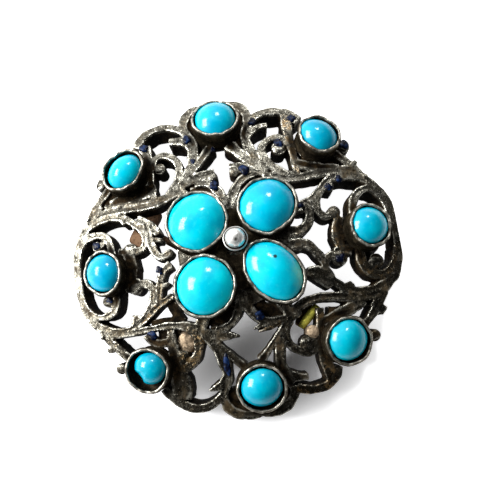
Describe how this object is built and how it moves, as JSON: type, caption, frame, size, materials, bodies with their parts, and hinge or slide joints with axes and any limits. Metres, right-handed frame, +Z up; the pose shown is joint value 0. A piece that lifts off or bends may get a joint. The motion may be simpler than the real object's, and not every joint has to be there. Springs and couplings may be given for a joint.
{
  "type": "turquoise brooch",
  "caption": "Domed round brooch of pierced silver scrollwork with turquoise cabochons in raised cups, a central cluster, a ball-headed rivet and a pin behind.",
  "frame": {"origin": "middle of the resting plane under the brooch", "axes": "+Z up through the dome, +Y toward the cup at the top of the pattern, +X toward the cup at its right"},
  "size_m": [0.0406, 0.0404, 0.0101],
  "materials": {
    "silver": "cast silver, blackened in the recesses and worn bright on the edges",
    "bright_silver": "polished silver ball",
    "pin_metal": "aged yellow metal, toned brown",
    "enamel": "glossy dark blue enamel drops",
    "turquoise": "polished turquoise"
  },
  "bodies": {
    "root": {"openwork_base": "silver", "centre_cluster": "silver", "centre_stud": "bright_silver", "pin_clasp": "pin_metal", "enamel_drops": "enamel", "ring_stone_1": "turquoise", "ring_stone_2": "turquoise", "ring_stone_3": "turquoise", "ring_stone_4": "turquoise", "ring_stone_5": "turquoise", "ring_stone_6": "turquoise", "ring_stone_7": "turquoise", "ring_stone_8": "turquoise", "centre_stone_1": "turquoise", "centre_stone_2": "turquoise", "centre_stone_3": "turquoise", "centre_stone_4": "turquoise"}
  },
  "joints": []
}
